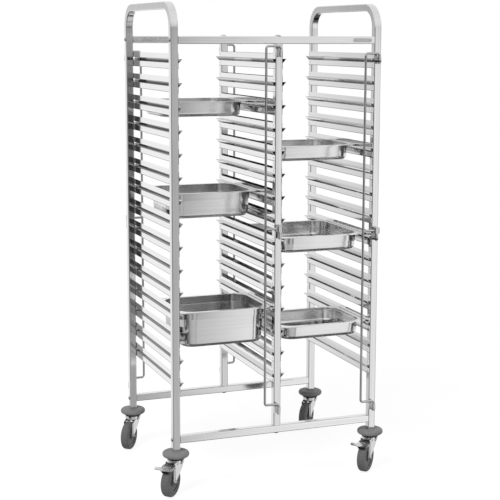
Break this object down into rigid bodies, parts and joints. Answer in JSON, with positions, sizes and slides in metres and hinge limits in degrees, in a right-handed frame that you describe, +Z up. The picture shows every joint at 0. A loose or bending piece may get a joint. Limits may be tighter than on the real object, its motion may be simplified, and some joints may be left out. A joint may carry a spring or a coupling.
{
  "type": "tray trolley",
  "caption": "Two-bay square-tube trolley on swivel casters; folded ledges carry sliding trays, swinging rods hold them in, foot brakes at the front",
  "frame": {"origin": "on the floor under the centre of the tube frame", "axes": "+X to the right seen from the front, +Y to the rear, +Z up"},
  "size_m": [0.8369, 0.6412, 1.605],
  "materials": {
    "frame_steel": "polished stainless steel tube",
    "ledge_steel": "bright stainless sheet",
    "rod_steel": "polished stainless wire",
    "pan_steel": "satin stainless sheet",
    "bolt_steel": "plain stainless",
    "caster_steel": "bright plated pressing",
    "bumper_rubber": "grey moulded rubber",
    "tyre_rubber": "grey non-marking tyre",
    "wheel_plastic": "grey moulded core",
    "seal_plastic": "black moulded ring",
    "brake_rubber": "black moulded block"
  },
  "bodies": {
    "frame": {"left_side_frame": "frame_steel", "right_side_frame": "frame_steel", "front_mid_upright": "frame_steel", "rear_mid_upright": "frame_steel", "top_front_bar": "frame_steel", "top_rear_bar": "frame_steel", "bottom_front_bar": "frame_steel", "bottom_rear_bar": "frame_steel", "left_frame_ledges": "ledge_steel", "mid_left_ledges": "ledge_steel", "mid_right_ledges": "ledge_steel", "right_frame_ledges": "ledge_steel", "left_frame_tray_ledges": "ledge_steel", "mid_tray_ledges": "ledge_steel", "right_frame_tray_ledges": "ledge_steel", "side_bolts": "bolt_steel", "upright_bolts": "bolt_steel", "tube_end_plugs": "bolt_steel", "caster_sockets": "bolt_steel", "swivel_balls": "bolt_steel", "rod_sleeves": "ledge_steel", "swivel_seals": "seal_plastic", "front_left_bumper": "bumper_rubber", "front_left_head": "caster_steel", "front_right_bumper": "bumper_rubber", "front_right_head": "caster_steel", "rear_left_bumper": "bumper_rubber", "rear_left_head": "caster_steel", "rear_right_bumper": "bumper_rubber", "rear_right_head": "caster_steel"},
    "front_left_swivel": {"front_left_fork": "caster_steel", "front_left_axle": "bolt_steel"},
    "front_left_roll": {"front_left_wheel": "wheel_plastic", "front_left_tyre": "tyre_rubber"},
    "front_left_brake": {"front_left_pedal": "caster_steel", "front_left_brake_block": "brake_rubber"},
    "front_right_swivel": {"front_right_fork": "caster_steel", "front_right_axle": "bolt_steel"},
    "front_right_roll": {"front_right_wheel": "wheel_plastic", "front_right_tyre": "tyre_rubber"},
    "front_right_brake": {"front_right_pedal": "caster_steel", "front_right_brake_block": "brake_rubber"},
    "rear_left_swivel": {"rear_left_fork": "caster_steel", "rear_left_axle": "bolt_steel"},
    "rear_left_roll": {"rear_left_wheel": "wheel_plastic", "rear_left_tyre": "tyre_rubber"},
    "rear_right_swivel": {"rear_right_fork": "caster_steel", "rear_right_axle": "bolt_steel"},
    "rear_right_roll": {"rear_right_wheel": "wheel_plastic", "rear_right_tyre": "tyre_rubber"},
    "front_mid_rod": {"front_mid_rod": "rod_steel"},
    "front_right_rod": {"front_right_rod": "rod_steel"},
    "rear_left_rod": {"rear_left_rod": "rod_steel"},
    "rear_mid_rod": {"rear_mid_rod": "rod_steel"},
    "pan_left_upper": {"pan_left_upper": "pan_steel"},
    "pan_left_middle": {"pan_left_middle": "pan_steel"},
    "pan_left_lower": {"pan_left_lower": "pan_steel"},
    "pan_right_upper": {"pan_right_upper": "pan_steel"},
    "pan_right_middle": {"pan_right_middle": "pan_steel"},
    "pan_right_lower": {"pan_right_lower": "pan_steel"}
  },
  "joints": [
    {"name": "front_left_swivel_turn", "type": "hinge", "parent": "frame", "child": "front_left_swivel", "pos_m": [-0.355, -0.2625, 0.108], "axis": [0, 0, 1], "continuous": true},
    {"name": "front_left_wheel_roll", "type": "hinge", "parent": "front_left_swivel", "child": "front_left_roll", "pos_m": [-0.38269, -0.29137, 0.05], "axis": [0.7218, -0.6921, 0], "continuous": true},
    {"name": "front_left_brake_press", "type": "hinge", "parent": "front_left_swivel", "child": "front_left_brake", "pos_m": [-0.37992, -0.28848, 0.108], "axis": [0.7218, -0.6921, 0], "range_deg": [0, 7]},
    {"name": "front_right_swivel_turn", "type": "hinge", "parent": "frame", "child": "front_right_swivel", "pos_m": [0.355, -0.2625, 0.108], "axis": [0, 0, 1], "continuous": true},
    {"name": "front_right_wheel_roll", "type": "hinge", "parent": "front_right_swivel", "child": "front_right_roll", "pos_m": [0.32556, -0.28958, 0.05], "axis": [0.6769, -0.7361, 0], "continuous": true},
    {"name": "front_right_brake_press", "type": "hinge", "parent": "front_right_swivel", "child": "front_right_brake", "pos_m": [0.3285, -0.28687, 0.108], "axis": [0.6769, -0.7361, 0], "range_deg": [0, 7]},
    {"name": "rear_left_swivel_turn", "type": "hinge", "parent": "frame", "child": "rear_left_swivel", "pos_m": [-0.355, 0.2625, 0.108], "axis": [0, 0, 1], "continuous": true},
    {"name": "rear_left_wheel_roll", "type": "hinge", "parent": "rear_left_swivel", "child": "rear_left_roll", "pos_m": [-0.37968, 0.23102, 0.05], "axis": [0.7869, -0.617, 0], "continuous": true},
    {"name": "rear_right_swivel_turn", "type": "hinge", "parent": "frame", "child": "rear_right_swivel", "pos_m": [0.355, 0.2625, 0.108], "axis": [0, 0, 1], "continuous": true},
    {"name": "rear_right_wheel_roll", "type": "hinge", "parent": "rear_right_swivel", "child": "rear_right_roll", "pos_m": [0.32721, 0.23373, 0.05], "axis": [0.7193, -0.6947, 0], "continuous": true},
    {"name": "front_mid_rod_swing", "type": "hinge", "parent": "frame", "child": "front_mid_rod", "pos_m": [0, -0.287, 0.85], "axis": [0, 0, 1], "range_deg": [0, 180]},
    {"name": "front_right_rod_swing", "type": "hinge", "parent": "frame", "child": "front_right_rod", "pos_m": [0.355, -0.287, 0.85], "axis": [0, 0, 1], "range_deg": [0, 180]},
    {"name": "rear_left_rod_swing", "type": "hinge", "parent": "frame", "child": "rear_left_rod", "pos_m": [-0.355, 0.287, 0.85], "axis": [0, 0, 1], "range_deg": [0, 180]},
    {"name": "rear_mid_rod_swing", "type": "hinge", "parent": "frame", "child": "rear_mid_rod", "pos_m": [0, 0.287, 0.85], "axis": [0, 0, 1], "range_deg": [0, 180]},
    {"name": "pan_left_upper_slide", "type": "slide", "parent": "frame", "child": "pan_left_upper", "axis": [0, -1, 0], "range_m": [-0.067, 0.232]},
    {"name": "pan_left_middle_slide", "type": "slide", "parent": "frame", "child": "pan_left_middle", "axis": [0, -1, 0], "range_m": [-0.147, 0.152]},
    {"name": "pan_left_lower_slide", "type": "slide", "parent": "frame", "child": "pan_left_lower", "axis": [0, -1, 0], "range_m": [-0.281, 0.018]},
    {"name": "pan_right_upper_slide", "type": "slide", "parent": "frame", "child": "pan_right_upper", "axis": [0, -1, 0], "range_m": [-0.175, 0.124]},
    {"name": "pan_right_middle_slide", "type": "slide", "parent": "frame", "child": "pan_right_middle", "axis": [0, -1, 0], "range_m": [-0.159, 0.051]},
    {"name": "pan_right_lower_slide", "type": "slide", "parent": "frame", "child": "pan_right_lower", "axis": [0, -1, 0], "range_m": [-0.279, 0.02]}
  ]
}
